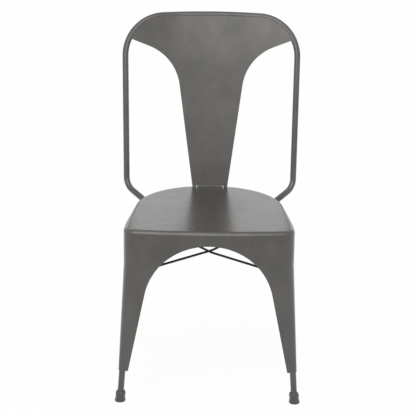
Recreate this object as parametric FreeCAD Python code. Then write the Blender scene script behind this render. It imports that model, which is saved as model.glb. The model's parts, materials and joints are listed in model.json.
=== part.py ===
import FreeCAD, Part
import math
import os

# A sheet-metal side chair. Lengths are millimetres and angles are degrees. While it is built, x = 0 is
# the chair's middle, y = 0 the front of the seat and z = 0 the floor; the sitter faces -Y, and "left"
# means the -X side. The finished pieces are then moved so that y = 0 is the middle of the whole chair.

# Sheet and tube stock
seat_sheet = 1.5
wall_sheet = 1.5
splat_sheet = 1.5
tube_radius = 8.0
tube_wall = 1.5

# Seat
seat_height = 453.0
seat_half_width = 214.2
seat_depth = 386.0
seat_edge_radius = 11.0
seat_rim_depth = 20.0
seat_front_bow = 1800.0
seat_rear_bow = 700.0
seat_front_corner = 32.0
seat_haunch_radius = 400.0
seat_rear_corner = 179.5
seat_rear_corner_x = 14.5

# Legs and aprons: one tapering skirt of sheet with an arch in each side
shoulder_drop = 98.0
leg_end_level = 83.0
leg_end_width = 24.5
leg_end_rear_bow = 2500.0
front_foot_spread = 8.3
front_foot_reach = 10.0
rear_foot_spread = 9.8
rear_foot_reach = 34.0
tube_gap = 0.2
arch_drop = 36.5
front_arch_radius = 164.0
rear_arch_radius = 152.0
side_arch_radius = 150.0
arch_flange = 7.0
leg_end_corner = 4.0
front_seam_x = 110.0
rear_seam_x = 96.0
side_seam_front = 92.0
rear_seam_inset = 86.0
leg_tube_drop = 25.0
block_overrun = 2.0

# Rubber feet
foot_height = 35.0
foot_floor = 7.0
foot_neck_radius = 11.0
foot_bulge_radius = 12.6
foot_waist_radius = 11.8
foot_base_radius = 14.2
foot_edge = 2.0
foot_fit = 0.1

# Back frame: one bent tube, leaning back and curved round the sitter
overall_height = 915.0
back_lean = 8.75
back_inset = 9.0
rail_radius = 520.0
rail_turn = 13.45
rail_drop = 9.0
shoulder_spread = 12.9
shoulder_radius = 105.0
upright_spread = 6.6
upright_lower_height = 6.5
lower_bend_radius = 38.0
joint_angle = 28.4
joint_drop = 13.0

# Splat
splat_recess = 0.4
splat_foot_half_width = 46.5
splat_side_angle = 7.66
splat_curve_radius = 130.0
splat_curve_start = 273.5
splat_wing_angle = 22.0
splat_flange = 6.0
foot_flange_half_width = 34.0
foot_flange_depth = 14.0
foot_flange_bend = 2.0
foot_relief = 0.6

# Cross braces
rod_radius = 3.0
rod_bend_radius = 40.0
rod_gap = 0.2
crossing_x = 7.0
crossing_y = 190.0
crossing_drop = 118.0
front_rod_drop = 120.0
rear_rod_drop = 101.0
lug_thickness = 3.0
lug_half_width = 7.0
lug_screw_rise = 12.0
lug_gap = 0.1
screw_radius = 2.5
screw_clearance = 0.3
screw_thread_fit = 0.1
screw_head_radius = 4.75
screw_head_height = 2.8
screw_reach = 3.0
socket_radius = 1.7
socket_depth = 1.5

# Places that follow from the sizes above
rim_level = seat_height - seat_rim_depth
shoulder_level = seat_height - shoulder_drop
arch_top = seat_height - arch_drop
leg_tube_top = seat_height - leg_tube_drop
side_seam_rear = seat_depth - rear_seam_inset
back_foot_y = seat_depth - back_inset
shoulder_x = seat_half_width + shoulder_spread
upright_lower_x = seat_half_width + upright_spread
crossing_level = seat_height - crossing_drop


def vector(x, y, z=0.0):
    return FreeCAD.Vector(x, y, z)


def polar(centre, radius, angle):
    return centre + vector(math.cos(angle), math.sin(angle)) * radius


def arc(start, middle, end):
    return Part.Arc(start, middle, end).toShape()


def line(start, end):
    return Part.LineSegment(start, end).toShape()


def mirrored(shape):
    return shape.mirror(vector(0, 0), vector(1, 0))


def mix(first, second, share):
    return first + (second - first) * share


class Section:
    """
    A level cut through the skirt: four round corners, a bowed front and rear, and two tapering sides.
    Each side runs straight from the rear corner and eases in a wide haunch to the front corner.
    """

    def __init__(self, front, front_radius, front_bow, rear, rear_radius, rear_bow):
        self.front = front
        self.front_radius = front_radius
        self.front_bow = front_bow
        self.rear = rear
        self.rear_radius = rear_radius
        self.rear_bow = rear_bow

    def haunch(self):
        return self.front - vector(seat_haunch_radius - self.front_radius, 0)

    def side_angle(self):
        span = self.rear - self.haunch()
        lean = math.acos((seat_haunch_radius - self.rear_radius) / span.Length)
        return math.atan2(span.y, span.x) - lean

    def front_bow_centre(self):
        reach = self.front_bow - self.front_radius
        return vector(0, self.front.y + math.sqrt(reach ** 2 - self.front.x ** 2))

    def rear_bow_centre(self):
        reach = self.rear_bow - self.rear_radius
        return vector(0, self.rear.y - math.sqrt(reach ** 2 - self.rear.x ** 2))

    def front_angle(self):
        reach = self.front - self.front_bow_centre()
        return math.atan2(reach.y, reach.x)

    def rear_angle(self):
        reach = self.rear - self.rear_bow_centre()
        return math.atan2(reach.y, reach.x)

    def front_corner_angle(self):
        return self.front_angle() / 2

    def rear_corner_angle(self):
        return (self.side_angle() + self.rear_angle()) / 2

    def wire(self, level, inset=0.0):
        front_radius = self.front_radius - inset
        rear_radius = self.rear_radius - inset
        side = self.side_angle()
        front_start = polar(self.front, front_radius, self.front_angle())
        front_middle = polar(self.front, front_radius, self.front_corner_angle())
        front_end = polar(self.front, front_radius, 0)
        haunch_middle = polar(self.haunch(), seat_haunch_radius - inset, side / 2)
        haunch_end = polar(self.haunch(), seat_haunch_radius - inset, side)
        rear_start = polar(self.rear, rear_radius, side)
        rear_middle = polar(self.rear, rear_radius, self.rear_corner_angle())
        rear_end = polar(self.rear, rear_radius, self.rear_angle())
        front_apex = self.front_bow_centre() - vector(0, self.front_bow - inset)
        rear_apex = self.rear_bow_centre() + vector(0, self.rear_bow - inset)

        def left(point):
            return vector(-point.x, point.y)

        edges = [
            arc(front_start, front_middle, front_end),
            arc(front_end, haunch_middle, haunch_end),
            line(haunch_end, rear_start),
            arc(rear_start, rear_middle, rear_end),
            arc(rear_end, rear_apex, left(rear_end)),
            arc(left(rear_end), left(rear_middle), left(rear_start)),
            line(left(rear_start), left(haunch_end)),
            arc(left(haunch_end), left(haunch_middle), left(front_end)),
            arc(left(front_end), left(front_middle), left(front_start)),
            arc(left(front_start), front_apex, front_start),
        ]
        outline = Part.Wire(edges)
        outline.translate(vector(0, 0, level))
        return outline


def seat_section():
    """The seat's own outline, fixed by its width, its depth and its four bends."""
    front_x = seat_half_width - seat_front_corner
    front_reach = seat_front_bow - seat_front_corner
    front_y = seat_front_bow - math.sqrt(front_reach ** 2 - front_x ** 2)
    rear_reach = seat_rear_bow - seat_rear_corner
    rear_y = seat_depth - seat_rear_bow + math.sqrt(rear_reach ** 2 - seat_rear_corner_x ** 2)
    front = vector(front_x, front_y)
    rear = vector(seat_rear_corner_x, rear_y)
    return Section(front, seat_front_corner, seat_front_bow, rear, seat_rear_corner, seat_rear_bow)


class LegTube:
    """The line of one leg tube: it lies in the fold of its leg and runs parallel to that fold."""

    def __init__(self, foot, corner, corner_radius, corner_angle, corner_level):
        self.foot = foot
        fold = polar(corner, corner_radius, corner_angle)
        self.slope = vector(0, 0)
        for _ in range(8):
            self.wrap_radius = self.tilted_radius() + tube_gap + wall_sheet
            lower_fold = polar(self.foot, self.wrap_radius, corner_angle)
            self.slope = (lower_fold - fold) * (1.0 / corner_level)
        self.direction = vector(-self.slope.x, -self.slope.y, 1)
        self.direction.normalize()

    def tilted_radius(self):
        return tube_radius * math.sqrt(1 + self.slope.Length ** 2)

    def at(self, level):
        return self.foot - self.slope * level + vector(0, 0, level)

    def tilt(self):
        return math.atan(self.slope.Length)


seat = seat_section()
front_foot = vector(seat_half_width + front_foot_spread, -front_foot_reach)
rear_foot = vector(seat_half_width + rear_foot_spread, seat_depth + rear_foot_reach)
front_tube = LegTube(
    front_foot, seat.front, seat.front_radius, seat.front_corner_angle(), shoulder_level
)
rear_tube = LegTube(rear_foot, seat.rear, seat.rear_radius, seat.rear_corner_angle(), rim_level)


def flat(point):
    return vector(point.x, point.y)


def leg_end_section():
    front = flat(front_tube.at(leg_end_level))
    rear = flat(rear_tube.at(leg_end_level))
    return Section(
        front, front_tube.wrap_radius, seat_front_bow, rear, rear_tube.wrap_radius, leg_end_rear_bow
    )


leg_end = leg_end_section()


def blend(upper, lower, share):
    """A section part way from one to the other; a share outside 0 to 1 carries on past them."""
    front = mix(upper.front, lower.front, share)
    rear = mix(upper.rear, lower.rear, share)
    front_radius = mix(upper.front_radius, lower.front_radius, share)
    rear_radius = mix(upper.rear_radius, lower.rear_radius, share)
    front_bow = 1 / mix(1 / upper.front_bow, 1 / lower.front_bow, share)
    rear_bow = 1 / mix(1 / upper.rear_bow, 1 / lower.rear_bow, share)
    return Section(front, front_radius, front_bow, rear, rear_radius, rear_bow)


def shoulder_section():
    """The front hangs plumb down to here; the rear corners already spread from the rim."""
    share = (rim_level - shoulder_level) / (rim_level - leg_end_level)
    spread = blend(seat, leg_end, share)
    return Section(
        seat.front, seat.front_radius, seat.front_bow, spread.rear, spread.rear_radius, spread.rear_bow
    )


shoulder = shoulder_section()


def skirt_block(inset):
    """The solid inside the skirt, drawn in by the inset and run a little past both of its ends."""
    below = block_overrun / (shoulder_level - leg_end_level)
    above = block_overrun / (rim_level - shoulder_level)
    wires = [
        blend(shoulder, leg_end, 1 + below).wire(leg_end_level - block_overrun, inset),
        shoulder.wire(shoulder_level, inset),
        blend(shoulder, seat, 1 + above).wire(rim_level + block_overrun, inset),
    ]
    return Part.makeLoft(wires, True, True)


def seat_block(inset):
    """The solid under the seat's rolled edge, drawn in by the inset."""
    face = Part.Face(seat.wire(rim_level, inset))
    block = face.extrude(vector(0, 0, seat_rim_depth - inset))
    top = seat_height - inset
    rim = [edge for edge in block.Edges if min(v.Z for v in edge.Vertexes) > top - 0.001]
    return block.makeFillet(seat_edge_radius - inset, rim)


def make_seat_pan():
    hollow = seat_block(seat_sheet)
    plug = Part.Face(seat.wire(rim_level - 1.0, seat_sheet)).extrude(vector(0, 0, 2.0))
    return seat_block(0.0).cut(hollow.fuse(plug))


class Arch:
    """An arch between two leg ends, drawn in a plane of span and height, its circle tangent to both."""

    def __init__(self, low, high, radius):
        self.low = low
        self.high = high
        self.radius = radius
        self.middle = (low + high) / 2
        self.centre_level = arch_top - radius

    def face(self, grow, plane):
        """The opening grown by the given margin; plane turns a span and a height into a point."""
        radius = self.radius + grow
        half = (self.high - self.low) / 2
        drop = self.centre_level - leg_end_level
        reach = math.hypot(half, drop)
        edge_angle = math.acos(self.radius / reach) - math.atan2(drop, half)
        normal = (math.cos(edge_angle), math.sin(edge_angle))
        touch = (radius * normal[0], self.centre_level + radius * normal[1])
        end_x = half + grow / math.cos(edge_angle)
        run = (end_x - touch[0]) / (leg_end_level - touch[1])
        corner = leg_end_corner
        corner_start = leg_end_level + 0.8 * corner
        start_x = end_x + run * (corner_start - leg_end_level)
        lowest = corner_start - corner
        right = [
            (start_x + corner, lowest - 1.0),
            (start_x + corner, lowest),
            (start_x + corner * (1 - math.sqrt(0.5)), corner_start - corner * math.sqrt(0.5)),
            (start_x, corner_start),
            touch,
        ]
        return self.closed(right, radius, plane)

    def closed(self, right, radius, plane):
        def place(point, side):
            return plane(self.middle + side * point[0], point[1])

        top = plane(self.middle, self.centre_level + radius)
        low_right, turn_right, mid_right, start_right, touch_right = [place(p, 1) for p in right]
        low_left, turn_left, mid_left, start_left, touch_left = [place(p, -1) for p in right]
        edges = [
            line(low_left, low_right),
            line(low_right, turn_right),
            arc(turn_right, mid_right, start_right),
            line(start_right, touch_right),
            arc(touch_right, top, touch_left),
            line(touch_left, start_left),
            arc(start_left, mid_left, turn_left),
            line(turn_left, low_left),
        ]
        return Part.Face(Part.Wire(edges))


middle_y = seat_depth / 2
front_span = leg_end.front.x + leg_end.front_radius - leg_end_width
rear_span = leg_end.rear.x + leg_end.rear_radius - leg_end_width
side_start = leg_end.front.y - leg_end.front_radius + leg_end_width
side_end = leg_end.rear.y + leg_end.rear_radius - leg_end_width
front_arch = Arch(-front_span, front_span, front_arch_radius)
rear_arch = Arch(-rear_span, rear_span, rear_arch_radius)
side_arch = Arch(side_start, side_end, side_arch_radius)


def across(span, level):
    return vector(span, middle_y, level)


def along(span, level):
    return vector(seat_rear_corner_x, span, level)


def front_opening(grow):
    return front_arch.face(grow, across).extrude(vector(0, -seat_depth))


def rear_opening(grow):
    return rear_arch.face(grow, across).extrude(vector(0, seat_depth))


def side_opening(grow):
    return side_arch.face(grow, along).extrude(vector(2 * seat_half_width, 0))


def box(low, high):
    size = high - low
    return Part.makeBox(size.x, size.y, size.z, low)


class Skirt:
    """The walls under the seat. Every arch has a return flange, the full sheet thick, turned inwards."""

    def __init__(self):
        self.outer = skirt_block(0.0)
        self.inner = skirt_block(wall_sheet)
        self.core = skirt_block(arch_flange)

    def piece(self, low_x, high_x, low_y, high_y, openings):
        """The part of the skirt between plumb seams, with the arches that reach into it."""
        bounds = box(vector(low_x, low_y, leg_end_level), vector(high_x, high_y, rim_level))
        sheet = self.outer.common(bounds)
        hollow = self.inner
        for opening in openings:
            sheet = sheet.cut(opening(0.0))
            hollow = hollow.cut(opening(wall_sheet))
        return sheet.cut(hollow).cut(self.core)


def make_skirt():
    """The skirt parted along plumb seams into an apron on each side and a leg at each corner."""
    skirt = Skirt()
    wide = 2 * seat_half_width
    front = -seat_depth / 2
    rear = 2 * seat_depth
    front_apron = skirt.piece(-front_seam_x, front_seam_x, front, side_seam_front, [front_opening])
    rear_apron = skirt.piece(-rear_seam_x, rear_seam_x, side_seam_rear, rear, [rear_opening])
    side_apron = skirt.piece(front_seam_x, wide, side_seam_front, side_seam_rear, [side_opening])
    front_leg = skirt.piece(
        front_seam_x, wide, front, side_seam_front, [front_opening, side_opening]
    )
    rear_leg = skirt.piece(rear_seam_x, wide, side_seam_rear, rear, [rear_opening, side_opening])
    return {
        "front_apron": front_apron,
        "rear_apron": rear_apron,
        "right_apron": side_apron,
        "left_apron": mirrored(side_apron),
        "front_right_leg": front_leg,
        "front_left_leg": mirrored(front_leg),
        "rear_right_leg": rear_leg,
        "rear_left_leg": mirrored(rear_leg),
    }


def tube_end_level(tube):
    """Where a leg tube's axis meets its lower end, so that its rim clears the floor of the foot."""
    return foot_floor + tube_radius * math.sin(tube.tilt())


def make_leg_tube(tube):
    start = tube.at(tube_end_level(tube))
    length = (leg_tube_top - tube_end_level(tube)) / tube.direction.z
    outer = Part.makeCylinder(tube_radius, length, start, tube.direction)
    bore = Part.makeCylinder(tube_radius - tube_wall, length, start, tube.direction)
    return outer.cut(bore)


def foot_profile(reach):
    """Half of the rubber foot's outline: radius across, distance up the tube from the floor."""
    points = [
        vector(0, 0, -reach),
        vector(foot_base_radius, 0, -reach),
        vector(foot_base_radius, 0, 0.14 * foot_height),
        vector(foot_waist_radius, 0, 0.46 * foot_height),
        vector(foot_bulge_radius, 0, 0.78 * foot_height),
        vector(foot_neck_radius, 0, foot_height),
        vector(0, 0, foot_height),
    ]
    curve = Part.BSplineCurve()
    curve.interpolate(points[2:6])
    edges = [
        line(points[0], points[1]),
        line(points[1], points[2]),
        curve.toShape(),
        line(points[5], points[6]),
        line(points[6], points[0]),
    ]
    return Part.Face(Part.Wire(edges))


def make_foot(tube):
    """A rubber cap on the tube's end, moulded on the tube's line and flat where it meets the floor."""
    body = foot_profile(foot_base_radius).revolve(vector(0, 0), vector(0, 0, 1), 360)
    body.Placement = FreeCAD.Placement(
        tube.foot, FreeCAD.Rotation(vector(0, 0, 1), tube.direction)
    )
    wide = 4 * foot_base_radius
    ground = box(
        tube.foot - vector(wide, wide, wide), tube.foot + vector(wide, wide, 0)
    )
    bore = Part.makeCylinder(
        tube_radius + foot_fit, 2 * foot_height, tube.at(tube_end_level(tube)), tube.direction
    )
    body = body.cut(ground)
    sole = [edge for edge in body.Edges if max(v.Z for v in edge.Vertexes) < 0.001]
    return body.makeFillet(foot_edge, sole).cut(bore)


class BentPath:
    """Straight runs between corner points, each corner rounded by a tangent arc of its own radius."""

    def __init__(self, points, radii):
        self.points = points
        self.edges = []
        start = points[0]
        for before, corner, after, radius in zip(points, points[1:], points[2:], radii):
            inward = (before - corner).normalize()
            outward = (after - corner).normalize()
            half_turn = (math.pi - inward.getAngle(outward)) / 2
            setback = radius * math.tan(half_turn)
            bisector = (inward + outward).normalize()
            enter = corner + inward * setback
            leave = corner + outward * setback
            crown = corner + bisector * (radius / math.cos(half_turn) - radius)
            self.edges.append(line(start, enter))
            self.edges.append(arc(enter, crown, leave))
            start = leave
        self.edges.append(line(start, points[-1]))

    def sweep(self, radius):
        path = Part.Wire(self.edges)
        heading = self.points[1] - self.points[0]
        circle = Part.Circle(self.points[0], heading, radius).toShape()
        return path.makePipeShell([Part.Wire(circle)], True, True)


lean = math.radians(back_lean)
rail_angle = math.radians(rail_turn)
up_back = vector(0, math.sin(lean), math.cos(lean))
forward = vector(0, -math.cos(lean), math.sin(lean))


def back_point(across, height, advance):
    """A point of the back: across the chair, up the lean from the seat, and forward of the middle."""
    origin = vector(0, back_foot_y, seat_height)
    return origin + vector(across, 0) + up_back * height + forward * advance


def rail_advance(across):
    """How far forward the tube has curved at this distance from the middle, past the rail's bend."""
    bend_end = rail_radius * math.sin(rail_angle)
    return rail_radius * (1 - math.cos(rail_angle)) + (across - bend_end) * math.tan(rail_angle)


def rail_corner_height():
    """The height of the virtual corner where the two halves of the top rail would meet."""
    top = (overall_height - tube_radius - seat_height) / math.cos(lean)
    return top + rail_drop * rail_bend_share()


def rail_bend_share():
    """The share of the rail's drop that its middle bend takes off at the crown."""
    tangent = rail_radius * math.sin(rail_angle)
    return tangent / shoulder_x / 2


def back_corners():
    """Middle, shoulder, lower bend and seat joint of the right half of the back tube."""
    spread = rail_advance(shoulder_x)
    behind = spread - shoulder_x * math.tan(rail_angle)
    top = rail_corner_height()
    middle = back_point(0, top, behind)
    shoulder_corner = back_point(shoulder_x, top - rail_drop, spread)
    lower = back_point(upright_lower_x, upright_lower_height, spread)
    angle = math.radians(joint_angle)
    joint = polar(seat.rear, seat.rear_radius, angle) + vector(0, 0, seat_height - joint_drop)
    return middle, shoulder_corner, lower, joint


def back_path():
    middle, shoulder_corner, lower, joint = back_corners()
    inside = joint + (joint - lower).normalize() * (2 * tube_radius)
    right = [inside, lower, shoulder_corner]
    left = [vector(-point.x, point.y, point.z) for point in right]
    points = left + [middle] + right[::-1]
    bends = [lower_bend_radius, shoulder_radius]
    return BentPath(points, bends + [rail_radius] + bends[::-1])


tube_path = back_path()
frame_bar = tube_path.sweep(tube_radius)
seat_solid = seat_block(0.0).fuse(skirt_block(0.0))


def make_back_frame():
    return frame_bar.cut(tube_path.sweep(tube_radius - tube_wall)).cut(seat_solid)


def splat_layer(front, depth):
    """A sheet of the given depth, bent in plan like the back frame, from this far forward of its line."""
    low = -2 * seat_edge_radius
    wing = 2 * tube_radius + shoulder_x
    sine = math.sin(rail_angle)
    cosine = math.cos(rail_angle)

    def curve(advance):
        radius = rail_radius - advance
        bend = vector(radius * sine, rail_radius - radius * cosine)
        tip = bend + vector(cosine, sine) * ((wing - bend.x) / cosine)
        crown = back_point(0, low, advance)
        right = [back_point(point.x, low, point.y) for point in (bend, tip)]
        left = [back_point(-point.x, low, point.y) for point in (bend, tip)]
        return left, crown, right

    front_left, front_crown, front_right = curve(front)
    rear_left, rear_crown, rear_right = curve(front - depth)
    edges = [
        line(front_left[1], front_left[0]),
        arc(front_left[0], front_crown, front_right[0]),
        line(front_right[0], front_right[1]),
        line(front_right[1], rear_right[1]),
        line(rear_right[1], rear_right[0]),
        arc(rear_right[0], rear_crown, rear_left[0]),
        line(rear_left[0], rear_left[1]),
        line(rear_left[1], front_left[1]),
    ]
    height = (overall_height - seat_height) / math.cos(lean) - low
    return Part.Face(Part.Wire(edges)).extrude(up_back * height)


def splat_opening(grow):
    """The right-hand opening beside the splat, in the leaning plane of the back."""
    side = math.radians(splat_side_angle)
    wing = math.radians(splat_wing_angle)
    up_side = vector(math.sin(side), math.cos(side))
    out_side = vector(math.cos(side), -math.sin(side))
    up_wing = vector(math.cos(wing), math.sin(wing))
    out_wing = vector(math.sin(wing), -math.cos(wing))
    out_middle = (out_side + out_wing).normalize()
    foot = vector(splat_foot_half_width, 0) - out_side * grow
    turn = foot + up_side * (splat_curve_start / math.cos(side))
    centre = turn + out_side * (splat_curve_radius + grow)
    radius = splat_curve_radius + grow
    leave = centre - out_wing * radius
    far = leave + up_wing * splat_curve_radius
    low = foot - up_side * (2 * seat_edge_radius)

    def place(point):
        return back_point(point.x, point.y, -rail_radius / 2)

    edges = [
        line(place(low), place(turn)),
        arc(place(turn), place(centre - out_middle * radius), place(leave)),
        line(place(leave), place(far)),
        line(place(far), place(vector(far.x, low.y))),
        line(place(vector(far.x, low.y)), place(low)),
    ]
    return Part.Face(Part.Wire(edges)).extrude(forward * rail_radius)


def foot_flange():
    """The tab under the splat, bent forward to lie flat on the seat."""
    front = tube_radius - splat_recess
    layer = splat_layer(front + foot_flange_depth, foot_flange_depth + splat_sheet)
    reach = vector(foot_flange_half_width, seat_depth, seat_height + splat_sheet)
    return layer.common(box(vector(-reach.x, 0, seat_height), reach))


def make_back_splat():
    front = tube_radius - splat_recess
    deep = splat_layer(front, splat_flange)
    hollow = splat_layer(front - splat_sheet, splat_flange)
    for turned in (False, True):
        opening = splat_opening(0.0)
        grown = splat_opening(splat_sheet)
        if turned:
            opening = mirrored(opening)
            grown = mirrored(grown)
        deep = deep.cut(opening)
        hollow = hollow.cut(grown)
    sheet = deep.cut(hollow).cut(frame_bar)
    wide = 2 * seat_half_width
    relief = splat_sheet + foot_flange_bend + foot_relief
    below = box(vector(-wide, 0, 0), vector(wide, 2 * seat_depth, seat_height))
    inside = [solid for solid in sheet.cut(below).Solids if abs(solid.CenterOfMass.x) < 1.0]
    panel = max(inside, key=lambda solid: solid.Volume)
    for side in (-1, 1):
        inner = vector(side * foot_flange_half_width, 0, seat_height)
        outer = vector(side * wide, 2 * seat_depth, seat_height + relief)
        low = vector(min(inner.x, outer.x), inner.y, inner.z)
        high = vector(max(inner.x, outer.x), outer.y, outer.z)
        panel = panel.cut(box(low, high))
    panel = panel.fuse(foot_flange()).removeSplitter()
    top = seat_height + splat_sheet
    bend = [edge for edge in panel.Edges if is_flange_bend(edge, top)]
    return panel.makeFillet(foot_flange_bend, bend)


def is_flange_bend(edge, top):
    """The inside corner where the tab turns up into the splat."""
    flat_edge = max(abs(v.Z - top) for v in edge.Vertexes) < 0.001
    middle = edge.valueAt((edge.FirstParameter + edge.LastParameter) / 2)
    front_face = back_foot_y - tube_radius
    return flat_edge and edge.Length > foot_flange_half_width and middle.y > front_face - 1.0


class BraceMount:
    """Where a brace rod meets a leg tube: a flattened lug against the tube, one screw above the rod."""

    def __init__(self, tube, level):
        axis_point = tube.at(level)
        inward = vector(0, crossing_y, level) - axis_point
        self.along = tube.direction
        self.normal = (inward - self.along * inward.dot(self.along)).normalize()
        self.across = self.along.cross(self.normal)
        self.face = axis_point + self.normal * (tube_radius + lug_gap)
        self.rod_end = self.face + self.normal * (lug_thickness / 2)
        self.screw_point = self.face + self.along * lug_screw_rise

    def lug(self):
        side = self.across * lug_half_width
        end = self.along * lug_half_width
        edges = [
            line(self.face - side, self.screw_point - side),
            arc(self.screw_point - side, self.screw_point + end, self.screw_point + side),
            line(self.screw_point + side, self.face + side),
            arc(self.face + side, self.face - end, self.face - side),
        ]
        plate = Part.Face(Part.Wire(edges)).extrude(self.normal * lug_thickness)
        return plate.cut(self.hole(screw_clearance))

    def hole(self, clearance):
        start = self.screw_point - self.normal * tube_radius
        length = tube_radius + 2 * lug_thickness
        return Part.makeCylinder(screw_radius + clearance, length, start, self.normal)

    def screw(self):
        """A button-head screw with a six-sided socket, through the lug and the near wall of the tube."""
        seat_point = self.screw_point + self.normal * lug_thickness
        length = lug_thickness + lug_gap + tube_wall + screw_reach
        shank = Part.makeCylinder(screw_radius, length, seat_point - self.normal * length, self.normal)
        head = Part.makeCylinder(screw_head_radius, screw_head_height, seat_point, self.normal)
        crown = seat_point + self.normal * screw_head_height
        rim = [edge for edge in head.Edges if is_round_at(edge, crown)]
        head = head.makeFillet(0.7 * screw_head_height, rim)
        corners = [
            crown
            + self.across * (socket_radius * math.cos(step * math.pi / 3))
            + self.along * (socket_radius * math.sin(step * math.pi / 3))
            for step in range(7)
        ]
        socket = Part.Face(Part.makePolygon(corners)).extrude(self.normal * -socket_depth)
        return head.fuse(shank).removeSplitter().cut(socket)


def is_round_at(edge, centre):
    return edge.Closed and (edge.CenterOfMass - centre).Length < 0.001


front_mount = BraceMount(front_tube, seat_height - front_rod_drop)
rear_mount = BraceMount(rear_tube, seat_height - rear_rod_drop)


def make_brace(across, rise):
    """A rod from the front left leg to the rear right one, kinked this far across at the crossing."""
    start = vector(-front_mount.rod_end.x, front_mount.rod_end.y, front_mount.rod_end.z)
    crossing = vector(across, crossing_y, crossing_level + rise)
    rod = BentPath([start, crossing, rear_mount.rod_end], [rod_bend_radius]).sweep(rod_radius)
    return rod.fuse([mirrored(front_mount.lug()), rear_mount.lug()]).removeSplitter()


def make_brace_screws():
    right = [front_mount.screw(), rear_mount.screw()]
    return Part.makeCompound(right + [mirrored(screw) for screw in right])


def make_pieces():
    pieces = make_skirt()
    pieces["seat_pan"] = make_seat_pan()
    for place, tube, mount in (("front", front_tube, front_mount), ("rear", rear_tube, rear_mount)):
        leg_tube = make_leg_tube(tube).cut(mount.hole(screw_thread_fit))
        foot = make_foot(tube)
        pieces[place + "_right_leg_tube"] = leg_tube
        pieces[place + "_left_leg_tube"] = mirrored(leg_tube)
        pieces[place + "_right_foot"] = foot
        pieces[place + "_left_foot"] = mirrored(foot)
    pieces["back_frame"] = make_back_frame()
    pieces["back_splat"] = make_back_splat()
    half_step = rod_radius + rod_gap / 2
    pieces["upper_brace_rod"] = make_brace(crossing_x, half_step)
    pieces["lower_brace_rod"] = mirrored(make_brace(-crossing_x, -half_step))
    pieces["brace_screws"] = make_brace_screws()
    return pieces


def export(pieces):
    whole = Part.makeCompound(list(pieces.values()))
    bounds = whole.optimalBoundingBox(False)
    shift = vector(0, -(bounds.YMin + bounds.YMax) / 2)
    os.makedirs("parts", exist_ok=True)
    for name, piece in pieces.items():
        piece.translate(shift)
        piece.exportStep("parts/" + name + ".step")


export(make_pieces())
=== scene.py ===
import json
import math
import bpy
from mathutils import Matrix, Vector


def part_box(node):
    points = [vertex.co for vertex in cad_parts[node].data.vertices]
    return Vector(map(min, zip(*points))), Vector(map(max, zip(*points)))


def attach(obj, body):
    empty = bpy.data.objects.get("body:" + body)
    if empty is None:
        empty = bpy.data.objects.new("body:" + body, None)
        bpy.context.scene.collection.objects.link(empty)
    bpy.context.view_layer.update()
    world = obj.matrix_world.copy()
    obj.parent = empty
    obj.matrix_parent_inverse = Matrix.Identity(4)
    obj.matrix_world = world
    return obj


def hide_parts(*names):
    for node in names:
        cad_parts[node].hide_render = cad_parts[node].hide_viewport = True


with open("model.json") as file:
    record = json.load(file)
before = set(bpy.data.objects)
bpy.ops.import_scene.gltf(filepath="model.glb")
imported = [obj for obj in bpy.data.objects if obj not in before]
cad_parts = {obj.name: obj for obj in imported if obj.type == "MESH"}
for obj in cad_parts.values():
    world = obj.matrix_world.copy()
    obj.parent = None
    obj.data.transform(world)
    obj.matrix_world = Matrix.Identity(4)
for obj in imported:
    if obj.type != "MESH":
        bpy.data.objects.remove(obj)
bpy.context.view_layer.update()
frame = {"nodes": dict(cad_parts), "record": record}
nodes = frame["nodes"]
scene = bpy.context.scene

MILLIMETRE = 0.001

# The camera that took the photograph, solved from the chair's outline: its distance before the
# front edge of the seat and its height over the floor are in metres
IMAGE_SIDE = 416
FOCAL_PIXELS = 1713.4
SENSOR = 36.0
CAMERA_DISTANCE = 4.0
CAMERA_HEIGHT = 1.8666
CAMERA_PITCH = math.radians(18.629)
CAMERA_YAW = math.radians(-0.054)
CAMERA_ROLL = math.radians(0.68)
CLIP_NEAR = 0.1
CLIP_FAR = 200.0

# Studio: a white room, and a white floor just below the soles
WHITE = (1, 1, 1, 1)
ROOM_LEVEL = 0.85
FLOOR_SIDE = 60.0
FLOOR_DROP = 0.0002
FLOOR_WHITE_SHARE = 0.94
FLOOR_COLOUR = (0.92, 0.92, 0.92, 1)
# Softboxes high over the seat's front edge, before the back's upper half, and behind, where the
# seat reflects it: place, target, width and height in metres, and power in watts
SOFTBOXES = (
    ((-0.3, -1.5, 2.6), (0.0, 0.0, 0.45), 1.8, 0.7, 10.0),
    ((-0.3, -1.3, 1.25), (0.0, 0.1, 0.95), 1.7, 0.6, 5.0),
    ((0.0, 2.6, 1.3), (0.0, 0.0, 0.45), 3.0, 0.8, 1.3),
)

# Finishes: linear colours
LACQUER_DARK = (0.066, 0.066, 0.065, 1)
LACQUER_LIGHT = (0.108, 0.105, 0.099, 1)
LACQUER_WARM = (0.132, 0.118, 0.102, 1)
LACQUER_STREAK = (0.058, 0.056, 0.054, 1)
LACQUER_FLECK = (0.062, 0.060, 0.057, 1)
ROD_BLACK = (0.012, 0.012, 0.012, 1)
ROD_DULLED = (0.022, 0.021, 0.020, 1)
OXIDE_DARK = (0.020, 0.020, 0.022, 1)
OXIDE_WORN = (0.045, 0.044, 0.043, 1)
RUBBER_DARK = (0.028, 0.028, 0.028, 1)
RUBBER_DUSTY = (0.046, 0.045, 0.043, 1)
# Streaks are drawn out up and down by this scale
STREAK_SCALE = (1.0, 1.0, 0.3)
# The part of a noise's range that colours and roughness use
NOISE_LOW = 0.3
NOISE_HIGH = 0.7
# Depth in metres and strength of the fine grain
GRAIN_DEPTH = 0.0002
GRAIN_STRENGTH = 0.12
# Sockets of a mix node that is set to colours
MIX_SHARE, MIX_FIRST, MIX_SECOND, MIX_RESULT = 0, 6, 7, 2

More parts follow.
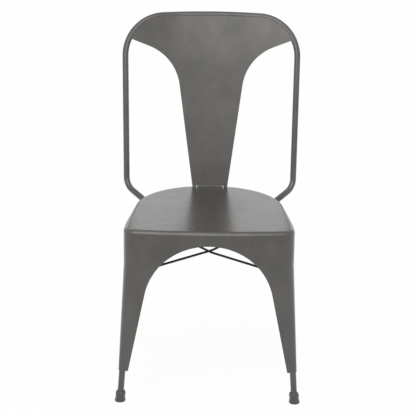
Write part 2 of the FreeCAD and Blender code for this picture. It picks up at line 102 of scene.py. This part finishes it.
# Rubber feet, in millimetres: the outline runs smoothly through these radii and heights, from the
# sole up over the flare, the waist and the bulge to the lip
FOOT_OUTLINE = (
    (12.5, 0.0),
    (13.7, 1.0),
    (13.9, 3.0),
    (12.9, 7.8),
    (12.1, 13.8),
    (12.9, 20.4),
    (11.3, 26.0),
    (8.5, 28.5),
)
FOOT_OUTLINE_STEPS = 4
FOOT_SOCKET_RADIUS = 8.1
FOOT_SOCKET_FLOOR = 7.0
FOOT_LIP_DEPTH = 1.0
FOOT_SEGMENTS = 56
# How far a right-hand foot leans across and along the chair, as shares of its height
FOOT_LEAN = {"front": (-0.067, 0.1029), "rear": (-0.2222, -0.2026)}

# Splat corners beside the bent tab, in millimetres: distances across, and levels over the seat
SPLAT_CORNER_INNER = 36.5
SPLAT_CORNER_OUTER = 46.7
SPLAT_CORNER_COLUMNS = 4
SPLAT_CORNER_LOW = 0.3
SPLAT_CORNER_HIGH = 4.3
# The splat's sheet, in millimetres: its front lies this far inside the rail's curve in plan
SPLAT_FRONT = 7.6
SPLAT_SHEET = 1.5
RAIL_RADIUS = 520.0
BACK_INSET = 9.0
BACK_LEAN = math.radians(8.75)


class Tree:
    """A short way to build a material's or the world's node tree."""

    def __init__(self, tree):
        self.nodes = tree.nodes
        self.links = tree.links
        self.nodes.clear()

    def feed(self, socket, value):
        if isinstance(value, bpy.types.NodeSocket):
            self.links.new(value, socket)
        else:
            socket.default_value = value

    def add(self, kind, **inputs):
        node = self.nodes.new(kind)
        for name, value in inputs.items():
            self.feed(node.inputs[name], value)
        return node

    def math(self, operation, first, second):
        node = self.add("ShaderNodeMath")
        node.operation = operation
        self.feed(node.inputs[0], first)
        self.feed(node.inputs[1], second)
        return node.outputs[0]

    def mix_colour(self, share, first, second):
        node = self.add("ShaderNodeMix")
        node.data_type = "RGBA"
        self.feed(node.inputs[MIX_SHARE], share)
        self.feed(node.inputs[MIX_FIRST], first)
        self.feed(node.inputs[MIX_SECOND], second)
        return node.outputs[MIX_RESULT]

    def noise(self, place, scale, detail, roughness):
        node = self.add(
            "ShaderNodeTexNoise", Vector=place, Scale=scale, Detail=detail, Roughness=roughness
        )
        return node.outputs[0]

    def spread(self, noise, low, high):
        """A noise's usual range, spread out from low to high."""
        node = self.add("ShaderNodeMapRange", Value=noise)
        node.inputs["From Min"].default_value = NOISE_LOW
        node.inputs["From Max"].default_value = NOISE_HIGH
        node.inputs["To Min"].default_value = low
        node.inputs["To Max"].default_value = high
        return node.outputs[0]

    def grain(self, height):
        node = self.add(
            "ShaderNodeBump", Height=height, Distance=GRAIN_DEPTH, Strength=GRAIN_STRENGTH
        )
        return node.outputs[0]

    def seen_rays(self):
        """1 for camera, glossy and transmission rays, which all see the room and floor as white."""
        path = self.add("ShaderNodeLightPath")
        seen = self.math("MAXIMUM", path.outputs["Is Camera Ray"], path.outputs["Is Glossy Ray"])
        return self.math("MAXIMUM", seen, path.outputs["Is Transmission Ray"])

    def mix_shader(self, share, first, second):
        node = self.add("ShaderNodeMixShader")
        for socket, value in zip(node.inputs, (share, first.outputs[0], second.outputs[0])):
            self.feed(socket, value)
        return node

    def end(self, kind, shader):
        self.add(kind, Surface=shader.outputs[0])


def make_camera():
    """The photograph's viewpoint, set off from the front edge of the seat."""
    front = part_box("seat_pan")[0].y
    pitch, yaw, roll = CAMERA_PITCH, CAMERA_YAW, CAMERA_ROLL
    ahead = Vector((math.sin(yaw), math.cos(yaw), 0))
    level = Vector((math.cos(yaw), -math.sin(yaw), 0))
    forward = ahead * math.cos(pitch) - Vector((0, 0, math.sin(pitch)))
    upright = level.cross(forward)
    right = level * math.cos(roll) + upright * math.sin(roll)
    up = upright * math.cos(roll) - level * math.sin(roll)
    data = bpy.data.cameras.new("camera")
    data.sensor_width = SENSOR
    data.lens = FOCAL_PIXELS / IMAGE_SIDE * SENSOR
    data.clip_start = CLIP_NEAR
    data.clip_end = CLIP_FAR
    camera = bpy.data.objects.new("camera", data)
    place = Vector((0, front - CAMERA_DISTANCE, CAMERA_HEIGHT))
    columns = Matrix((right, up, -forward)).transposed().to_4x4()
    camera.matrix_world = Matrix.Translation(place) @ columns
    scene.collection.objects.link(camera)
    scene.camera = camera


def make_world():
    """A room that camera and reflections see as plain white, and that lights a little less."""
    world = bpy.data.worlds.new("room")
    scene.world = world
    world.use_nodes = True
    tree = Tree(world.node_tree)
    light = tree.add("ShaderNodeBackground", Color=WHITE, Strength=ROOM_LEVEL)
    white = tree.add("ShaderNodeBackground", Color=WHITE, Strength=1.0)
    tree.end("ShaderNodeOutputWorld", tree.mix_shader(tree.seen_rays(), light, white))


def make_floor():
    """A white floor that keeps the chair's soft shadow."""
    half = FLOOR_SIDE / 2
    mesh = bpy.data.meshes.new("floor")
    corners = [(-half, -half, 0), (half, -half, 0), (half, half, 0), (-half, half, 0)]
    mesh.from_pydata(corners, [], [(0, 1, 2, 3)])
    floor = bpy.data.objects.new("floor", mesh)
    floor.location = (0, 0, -FLOOR_DROP)
    scene.collection.objects.link(floor)
    material = bpy.data.materials.new("floor_white")
    material.use_nodes = True
    tree = Tree(material.node_tree)
    diffuse = tree.add("ShaderNodeBsdfDiffuse", Color=FLOOR_COLOUR)
    glow = tree.add("ShaderNodeEmission", Color=WHITE, Strength=1.0)
    share = tree.math("MULTIPLY", tree.seen_rays(), FLOOR_WHITE_SHARE)
    tree.end("ShaderNodeOutputMaterial", tree.mix_shader(share, diffuse, glow))
    mesh.materials.append(material)


def make_softboxes():
    for place, target, width, height, power in SOFTBOXES:
        data = bpy.data.lights.new("softbox", "AREA")
        data.shape = "RECTANGLE"
        data.size = width
        data.size_y = height
        data.energy = power
        lamp = bpy.data.objects.new("softbox", data)
        lamp.location = place
        aim = Vector(target) - Vector(place)
        lamp.rotation_euler = aim.to_track_quat("-Z", "Y").to_euler()
        lamp.visible_camera = False
        scene.collection.objects.link(lamp)


def finish_material(name, build):
    material = bpy.data.materials.new(name)
    material.use_nodes = True
    tree = Tree(material.node_tree)
    place = tree.add("ShaderNodeTexCoord").outputs["Object"]
    shader = tree.add("ShaderNodeBsdfPrincipled")
    build(tree, place, shader.inputs)
    tree.end("ShaderNodeOutputMaterial", shader)
    return material


def gunmetal(tree, place, look):
    """Dark metallic lacquer, rubbed by hand: warm clouds, dark streaks up and down, satin coat."""
    stretched = tree.add("ShaderNodeMapping", Vector=place, Scale=STREAK_SCALE).outputs[0]
    slow = tree.noise(place, scale=8.0, detail=3.0, roughness=0.55)
    cloud = tree.noise(place, scale=20.0, detail=4.0, roughness=0.6)
    streaks = tree.noise(stretched, scale=38.0, detail=4.0, roughness=0.6)
    fleck = tree.noise(place, scale=420.0, detail=2.0, roughness=0.6)
    peel = tree.noise(place, scale=700.0, detail=2.0, roughness=0.5)
    colour = tree.mix_colour(tree.spread(slow, 0.0, 1.0), LACQUER_DARK, LACQUER_LIGHT)
    colour = tree.mix_colour(tree.spread(cloud, 0.0, 0.5), colour, LACQUER_WARM)
    colour = tree.mix_colour(tree.spread(streaks, 0.0, 0.35), colour, LACQUER_STREAK)
    colour = tree.mix_colour(tree.spread(fleck, 0.0, 0.3), colour, LACQUER_FLECK)
    tree.feed(look["Base Color"], colour)
    tree.feed(look["Roughness"], tree.spread(cloud, 0.39, 0.33))
    tree.feed(look["Metallic"], 0.9)
    tree.feed(look["Coat Weight"], 0.8)
    tree.feed(look["Coat Roughness"], 0.24)
    tree.feed(look["Normal"], tree.grain(peel))


def black_paint(tree, place, look):
    """Satin black on the bent rods, a little dulled along their length."""
    slow = tree.noise(place, scale=30.0, detail=3.0, roughness=0.5)
    peel = tree.noise(place, scale=900.0, detail=2.0, roughness=0.5)
    colour = tree.mix_colour(tree.spread(slow, 0.0, 1.0), ROD_BLACK, ROD_DULLED)
    tree.feed(look["Base Color"], colour)
    tree.feed(look["Roughness"], tree.spread(slow, 0.34, 0.44))
    tree.feed(look["Normal"], tree.grain(peel))


def black_steel(tree, place, look):
    """Oiled black oxide on the screws."""
    slow = tree.noise(place, scale=220.0, detail=3.0, roughness=0.6)
    colour = tree.mix_colour(tree.spread(slow, 0.0, 1.0), OXIDE_DARK, OXIDE_WORN)
    tree.feed(look["Base Color"], colour)
    tree.feed(look["Roughness"], tree.spread(slow, 0.30, 0.45))
    tree.feed(look["Metallic"], 0.8)


def rubber(tree, place, look):
    """Moulded dark rubber with a satin skin, a fine grain and a trace of dust."""
    slow = tree.noise(place, scale=60.0, detail=3.0, roughness=0.5)
    grain = tree.noise(place, scale=1400.0, detail=3.0, roughness=0.6)
    colour = tree.mix_colour(tree.spread(slow, 0.0, 1.0), RUBBER_DARK, RUBBER_DUSTY)
    tree.feed(look["Base Color"], colour)
    tree.feed(look["Roughness"], tree.spread(grain, 0.26, 0.40))
    tree.feed(look["Coat Weight"], 0.6)
    tree.feed(look["Coat Roughness"], 0.16)
    tree.feed(look["Normal"], tree.grain(grain))


def make_finishes():
    """A finish for each material slot of the record."""
    return {
        "gunmetal_paint": finish_material("gunmetal_lacquer", gunmetal),
        "black_paint": finish_material("satin_black", black_paint),
        "black_steel": finish_material("black_oxide", black_steel),
        "foot_rubber": finish_material("moulded_rubber", rubber),
    }


def dress_nodes(finishes):
    for row in frame["record"]["subparts"]:
        node = nodes[row["node"]]
        for slot in node.material_slots:
            slot.material = finishes[row["material_slot"]]


def add_piece(name, points, faces, material):
    mesh = bpy.data.meshes.new(name)
    mesh.from_pydata(points, [], faces)
    mesh.materials.append(material)
    piece = bpy.data.objects.new(name, mesh)
    scene.collection.objects.link(piece)
    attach(piece, "root")
    return piece


def smooth_outline(points, steps):
    """Points along a Catmull-Rom curve through the given ones."""
    points = [Vector(point) for point in points]
    padded = [points[0]] + points + [points[-1]]
    outline = []
    for before, start, end, after in zip(padded, padded[1:], padded[2:], padded[3:]):
        bend = 2 * before - 5 * start + 4 * end - after
        twist = 3 * start - before - 3 * end + after
        for step in range(steps):
            share = step / steps
            change = (end - before) * share + bend * share ** 2 + twist * share ** 3
            outline.append(start + change / 2)
    return outline + [points[-1]]


def foot_rings():
    """Radius and height of each ring of a foot, up the outside and down the socket."""
    lip = FOOT_OUTLINE[-1][1] - FOOT_LIP_DEPTH
    socket = [Vector((FOOT_SOCKET_RADIUS, lip)), Vector((FOOT_SOCKET_RADIUS, FOOT_SOCKET_FLOOR))]
    return smooth_outline(FOOT_OUTLINE, FOOT_OUTLINE_STEPS) + socket


def make_foot(end, side, material):
    """A moulded foot on the end of a leg tube: flared sole, waist, bulge and a domed shoulder."""
    node = end + "_" + side + "_foot"
    mounts = {mount["name"]: mount["pos_m"] for mount in frame["record"]["mounts"]}
    foot = Vector(mounts[end + "_" + side + "_floor"])
    across, along = FOOT_LEAN[end]
    lean = Vector((across if side == "right" else -across, along, 1))
    rings = foot_rings()
    points = []
    for radius, height in rings:
        centre = foot + lean * (height * MILLIMETRE)
        for step in range(FOOT_SEGMENTS):
            angle = 2 * math.pi * step / FOOT_SEGMENTS
            spoke = Vector((math.cos(angle), math.sin(angle), 0)) * (radius * MILLIMETRE)
            points.append(centre + spoke)
    sole = tuple(reversed(range(FOOT_SEGMENTS)))
    last = (len(rings) - 1) * FOOT_SEGMENTS
    socket_floor = tuple(range(last, last + FOOT_SEGMENTS))
    faces = [sole]
    for ring in range(len(rings) - 1):
        for step in range(FOOT_SEGMENTS):
            start = ring * FOOT_SEGMENTS + step
            after = ring * FOOT_SEGMENTS + (step + 1) % FOOT_SEGMENTS
            faces.append((start, after, after + FOOT_SEGMENTS, start + FOOT_SEGMENTS))
    faces.append(socket_floor)
    piece = add_piece(node + "_moulding", points, faces, material)
    for polygon in piece.data.polygons:
        polygon.use_smooth = len(polygon.vertices) < FOOT_SEGMENTS
    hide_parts(node)


def splat_point(across, rise, advance):
    """A point of the splat's sheet at this distance across and this level over the seat."""
    radius = RAIL_RADIUS - advance
    forward = RAIL_RADIUS - math.sqrt(radius ** 2 - across ** 2)
    height = (rise - math.sin(BACK_LEAN) * forward) / math.cos(BACK_LEAN)
    behind = math.sin(BACK_LEAN) * height - math.cos(BACK_LEAN) * forward
    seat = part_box("seat_pan")[1]
    back_foot = Vector((0, seat.y - BACK_INSET * MILLIMETRE, seat.z))
    return back_foot + Vector((across, behind, rise)) * MILLIMETRE


def make_splat_corner(name, side, material):
    """The corner of the splat that stands on the seat beside the tab, past the slot at the bend."""
    points = []
    for column in range(SPLAT_CORNER_COLUMNS + 1):
        share = column / SPLAT_CORNER_COLUMNS
        across = SPLAT_CORNER_INNER + (SPLAT_CORNER_OUTER - SPLAT_CORNER_INNER) * share
        for rise in (SPLAT_CORNER_LOW, SPLAT_CORNER_HIGH):
            for advance in (SPLAT_FRONT, SPLAT_FRONT - SPLAT_SHEET):
                points.append(splat_point(side * across, rise, advance))
    # The four points of a column in order around it
    around = (0, 1, 3, 2)
    count = len(around)
    last = count * SPLAT_CORNER_COLUMNS
    faces = []
    for base in range(0, last, count):
        for first, second in zip(around, around[1:] + around[:1]):
            near, far = base + first, base + second
            faces.append((near, far, far + count, near + count))
    faces.append(tuple(reversed(around)))
    faces.append(tuple(last + corner for corner in around))
    if side < 0:
        faces = [tuple(reversed(face)) for face in faces]
    add_piece(name, points, faces, material)


def add_details(finishes):
    """The feet and splat corners that the solids hold in a plainer form."""
    for end in ("front", "rear"):
        for side in ("left", "right"):
            make_foot(end, side, finishes["foot_rubber"])
    make_splat_corner("splat_corner_left", -1, finishes["gunmetal_paint"])
    make_splat_corner("splat_corner_right", 1, finishes["gunmetal_paint"])


make_camera()
make_world()
make_floor()
make_softboxes()
finishes = make_finishes()
dress_nodes(finishes)
add_details(finishes)
scene.view_settings.view_transform = "Standard"
